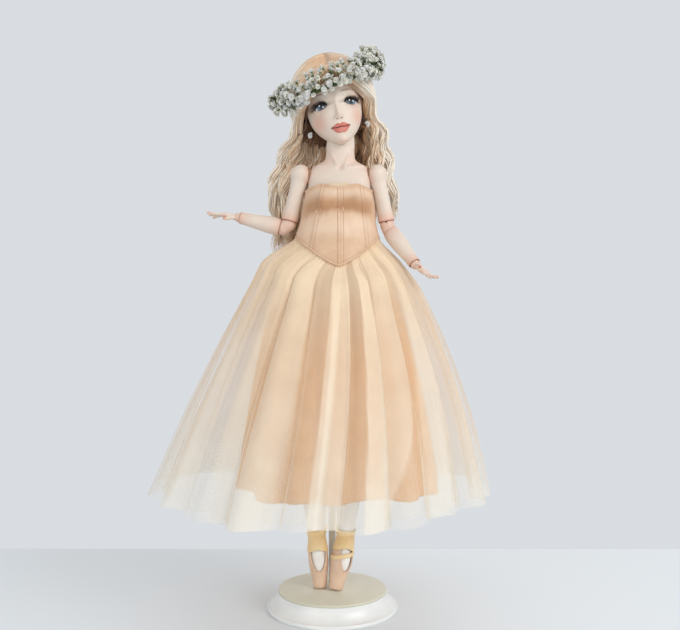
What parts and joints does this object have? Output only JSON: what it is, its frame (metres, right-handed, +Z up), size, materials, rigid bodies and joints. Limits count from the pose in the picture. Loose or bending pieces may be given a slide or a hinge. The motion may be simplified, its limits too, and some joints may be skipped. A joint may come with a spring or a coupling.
{
  "type": "collectible doll",
  "caption": "Stringed ball-jointed ballet doll in a satin corset and long tulle skirt, with wig, flower wreath and pointe shoes, held on tiptoe by a round display stand.",
  "frame": {"origin": "centre of the stand's flat underside, where the object stands", "axes": "+Z up, the doll faces -Y, +X towards the doll's left hand"},
  "size_m": [0.345, 0.3104, 0.5541],
  "materials": {
    "stand_gloss": "glossy white moulding",
    "stand_disc": "matte cream disc",
    "resin": "fine matte cast resin with painted blush",
    "elastic": "woven round elastic",
    "corset_satin": "peach satin",
    "skirt_satin": "peach satin lining",
    "tulle": "sheer cream tulle",
    "lace": "cream lace",
    "ribbon": "gold-peach satin ribbon",
    "shoe_satin": "dusty peach satin",
    "stocking": "white stretch stocking over the cast foot",
    "eye": "grey-blue iris under clear glass",
    "lash": "black lash fibres",
    "earring": "pearl white flower",
    "liner": "thin suede",
    "steel": "bright wire",
    "hair": "strawberry-blonde fibre",
    "stem": "green twisted stem",
    "petals": "small white flowers"
  },
  "bodies": {
    "stand": {"stand_base": "stand_gloss", "stand_top_disc": "stand_disc", "stand_rod": "stand_gloss", "stand_saddle": "stand_gloss"},
    "torso": {"torso": "resin", "corset": "corset_satin", "corset_lacing": "corset_satin", "lace_panel": "lace", "underskirt": "skirt_satin", "tulle_overskirt": "tulle", "arm_elastic": "elastic", "leg_elastic_right": "elastic", "leg_elastic_left": "elastic"},
    "neck_liner": {"neck_liner": "liner"},
    "neck_hook": {"neck_hook": "steel", "hair_right": "hair", "hair_left": "hair", "hair_back": "hair"},
    "head": {"head_shell": "resin", "head_cap": "resin", "eye_right": "eye", "eye_left": "eye", "eyelash_right": "lash", "eyelash_left": "lash", "earring_right": "earring", "earring_left": "earring", "wig_crown": "hair"},
    "wreath": {"wreath_ring": "stem", "flower_spray_right": "petals", "flower_spray_left": "petals"},
    "shoulder_liner_right": {"shoulder_liner_right": "liner"},
    "shoulder_liner_left": {"shoulder_liner_left": "liner"},
    "upper_arm_right": {"upper_arm_right": "resin"},
    "upper_arm_left": {"upper_arm_left": "resin"},
    "elbow_right": {"elbow_right": "resin"},
    "elbow_left": {"elbow_left": "resin"},
    "forearm_right": {"forearm_right": "resin"},
    "forearm_left": {"forearm_left": "resin"},
    "hand_hook_right": {"hand_hook_right": "steel"},
    "hand_hook_left": {"hand_hook_left": "steel"},
    "hand_right": {"hand_right": "resin"},
    "hand_left": {"hand_left": "resin"},
    "hip_liner_right": {"hip_liner_right": "liner"},
    "hip_liner_left": {"hip_liner_left": "liner"},
    "thigh_right": {"thigh_right": "resin"},
    "thigh_left": {"thigh_left": "resin"},
    "knee_right": {"knee_right": "resin"},
    "knee_left": {"knee_left": "resin"},
    "shin_right": {"shin_right": "resin", "shoe_ribbon_right": "ribbon"},
    "shin_left": {"shin_left": "resin", "shoe_ribbon_left": "ribbon"},
    "foot_right": {"foot_right": "stocking", "pointe_shoe_right": "shoe_satin"},
    "foot_left": {"foot_left": "stocking", "pointe_shoe_left": "shoe_satin"}
  },
  "joints": [
    {"name": "doll_lift", "type": "slide", "parent": "stand", "child": "torso", "axis": [0, 0, 1], "range_m": [0, 0.19]},
    {"name": "head_nod", "type": "hinge", "parent": "torso", "child": "neck_liner", "pos_m": [0.0085, 0.003, 0.472], "axis": [1, 0, 0], "range_deg": [-4, 12]},
    {"name": "head_tilt", "type": "hinge", "parent": "neck_liner", "child": "neck_hook", "pos_m": [0.0085, 0.003, 0.472], "axis": [0, 1, 0], "range_deg": [-8, 11]},
    {"name": "head_turn", "type": "hinge", "parent": "neck_hook", "child": "head", "pos_m": [0.0085, 0.003, 0.472], "axis": [-0.2079, 0, 0.9781], "range_deg": [-45, 45]},
    {"name": "wreath_lift", "type": "slide", "parent": "head", "child": "wreath", "axis": [-0.2079, 0, 0.9781], "range_m": [0, 0.06]},
    {"name": "shoulder_swing_right", "type": "hinge", "parent": "torso", "child": "shoulder_liner_right", "pos_m": [-0.0315, 0, 0.4324], "axis": [1, 0, 0], "range_deg": [-100, 8]},
    {"name": "shoulder_raise_right", "type": "hinge", "parent": "shoulder_liner_right", "child": "upper_arm_right", "pos_m": [-0.0315, 0, 0.4324], "axis": [0, 1, 0], "range_deg": [0, 80]},
    {"name": "elbow_upper_right", "type": "hinge", "parent": "upper_arm_right", "child": "elbow_right", "pos_m": [-0.04399, 0, 0.38275], "axis": [0, 1, 0], "range_deg": [-41, 3]},
    {"name": "elbow_lower_right", "type": "hinge", "parent": "elbow_right", "child": "forearm_right", "pos_m": [-0.04954, 0, 0.37899], "axis": [0, 1, 0], "range_deg": [-46, 2]},
    {"name": "wrist_turn_right", "type": "hinge", "parent": "forearm_right", "child": "hand_hook_right", "pos_m": [-0.0935, 0, 0.3895], "axis": [-0.9726, 0, 0.2324], "range_deg": [-80, 80]},
    {"name": "wrist_bend_right", "type": "hinge", "parent": "hand_hook_right", "child": "hand_right", "pos_m": [-0.0935, 0, 0.3895], "axis": [0, -1, 0], "range_deg": [-35, 35]},
    {"name": "shoulder_swing_left", "type": "hinge", "parent": "torso", "child": "shoulder_liner_left", "pos_m": [0.0442, 0, 0.4324], "axis": [1, 0, 0], "range_deg": [-100, 8]},
    {"name": "shoulder_raise_left", "type": "hinge", "parent": "shoulder_liner_left", "child": "upper_arm_left", "pos_m": [0.0442, 0, 0.4324], "axis": [0, -1, 0], "range_deg": [0, 80]},
    {"name": "elbow_upper_left", "type": "hinge", "parent": "upper_arm_left", "child": "elbow_left", "pos_m": [0.05472, 0, 0.38229], "axis": [-0.8008, -0.5748, -0.1682], "range_deg": [-6, 29]},
    {"name": "elbow_lower_left", "type": "hinge", "parent": "elbow_left", "child": "forearm_left", "pos_m": [0.05711, -0.00154, 0.37622], "axis": [-0.8008, -0.5748, -0.1682], "range_deg": [-7, 29]},
    {"name": "wrist_turn_left", "type": "hinge", "parent": "forearm_left", "child": "hand_hook_left", "pos_m": [0.0806, -0.024, 0.3411], "axis": [0.491, -0.4692, -0.734], "range_deg": [-80, 80]},
    {"name": "wrist_bend_left", "type": "hinge", "parent": "hand_hook_left", "child": "hand_left", "pos_m": [0.0806, -0.024, 0.3411], "axis": [-0.6034, -0.7909, 0.1021], "range_deg": [-35, 35]},
    {"name": "hip_swing_right", "type": "hinge", "parent": "torso", "child": "hip_liner_right", "pos_m": [-0.018, 0, 0.303], "axis": [-1, 0, 0], "range_deg": [-2, 20]},
    {"name": "hip_spread_right", "type": "hinge", "parent": "hip_liner_right", "child": "thigh_right", "pos_m": [-0.018, 0, 0.303], "axis": [0, 1, 0], "range_deg": [0, 15]},
    {"name": "knee_upper_right", "type": "hinge", "parent": "thigh_right", "child": "knee_right", "pos_m": [-0.02, -0.005, 0.193], "axis": [0.9976, 0.0698, 0], "range_deg": [0, 35]},
    {"name": "knee_lower_right", "type": "hinge", "parent": "knee_right", "child": "shin_right", "pos_m": [-0.02, -0.005, 0.181], "axis": [0.9976, 0.0698, 0], "range_deg": [0, 35]},
    {"name": "ankle_right", "type": "hinge", "parent": "shin_right", "child": "foot_right", "pos_m": [-0.0158, 0.003, 0.071], "axis": [-0.9976, -0.0698, 0], "range_deg": [0, 25]},
    {"name": "hip_swing_left", "type": "hinge", "parent": "torso", "child": "hip_liner_left", "pos_m": [0.018, 0, 0.303], "axis": [-1, 0, 0], "range_deg": [0, 14]},
    {"name": "hip_spread_left", "type": "hinge", "parent": "hip_liner_left", "child": "thigh_left", "pos_m": [0.018, 0, 0.303], "axis": [0, -1, 0], "range_deg": [0, 10]},
    {"name": "knee_upper_left", "type": "hinge", "parent": "thigh_left", "child": "knee_left", "pos_m": [0.02, -0.005, 0.193], "axis": [0.8829, -0.4695, 0], "range_deg": [0, 26]},
    {"name": "knee_lower_left", "type": "hinge", "parent": "knee_left", "child": "shin_left", "pos_m": [0.02, -0.005, 0.181], "axis": [0.8829, -0.4695, 0], "range_deg": [0, 26]},
    {"name": "ankle_left", "type": "hinge", "parent": "shin_left", "child": "foot_left", "pos_m": [0.013, 0.003, 0.071], "axis": [-0.7986, -0.6018, 0], "range_deg": [0, 25]}
  ]
}
